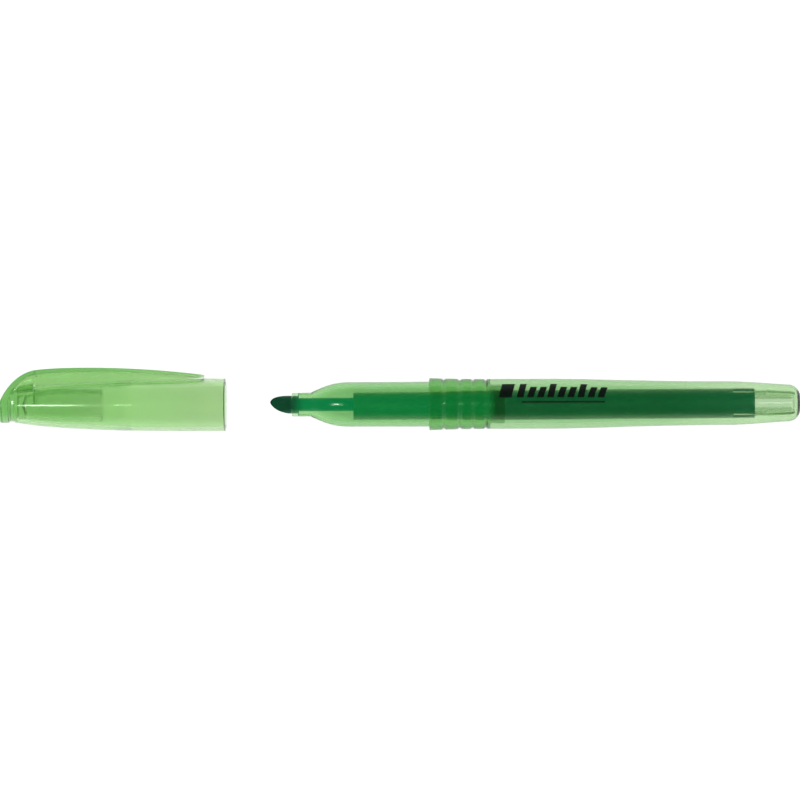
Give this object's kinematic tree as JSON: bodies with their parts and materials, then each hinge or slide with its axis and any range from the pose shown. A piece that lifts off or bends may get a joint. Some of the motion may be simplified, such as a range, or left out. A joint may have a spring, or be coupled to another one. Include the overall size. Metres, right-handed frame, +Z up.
{
  "type": "highlighter pen",
  "caption": "Pen-shaped highlighter in translucent green plastic: chisel nib, ribbed collar, visible ink reservoir, and a pull-off cap with a pocket clip.",
  "frame": {"origin": "on the pen's axis at the mouth of the barrel, where the barrel meets the ribbed collar", "axes": "+X along the pen towards its tail, +Y towards the clip, +Z up: the pen lies on its side with its cap pulled off in line with it"},
  "size_m": [0.1881, 0.015, 0.0126],
  "materials": {
    "barrel_plastic": "gloss, translucent pale green",
    "section_plastic": "gloss, translucent green",
    "cap_plastic": "gloss, translucent green",
    "nib_fibre": "matt fibre soaked with green ink",
    "ink_fibre": "matt fibre soaked with green ink",
    "film": "thin clear film"
  },
  "bodies": {
    "pen": {"barrel": "barrel_plastic", "nib_section": "section_plastic", "nib": "nib_fibre", "reservoir_core": "ink_fibre", "reservoir_wrap": "film"},
    "cap": {"cap_shell": "cap_plastic", "inner_cap": "cap_plastic"},
    "clip": {"cap_clip": "cap_plastic"}
  },
  "joints": [
    {"name": "cap_slide", "type": "slide", "parent": "pen", "child": "cap", "axis": [1, 0, 0], "range_m": [0, 0.0478]},
    {"name": "clip_flex", "type": "hinge", "parent": "cap", "child": "clip", "pos_m": [-0.10654, 0.0083, 0], "axis": [0, 0, 1], "range_deg": [0, 3.5], "stiffness_Nm_per_rad": 2}
  ]
}
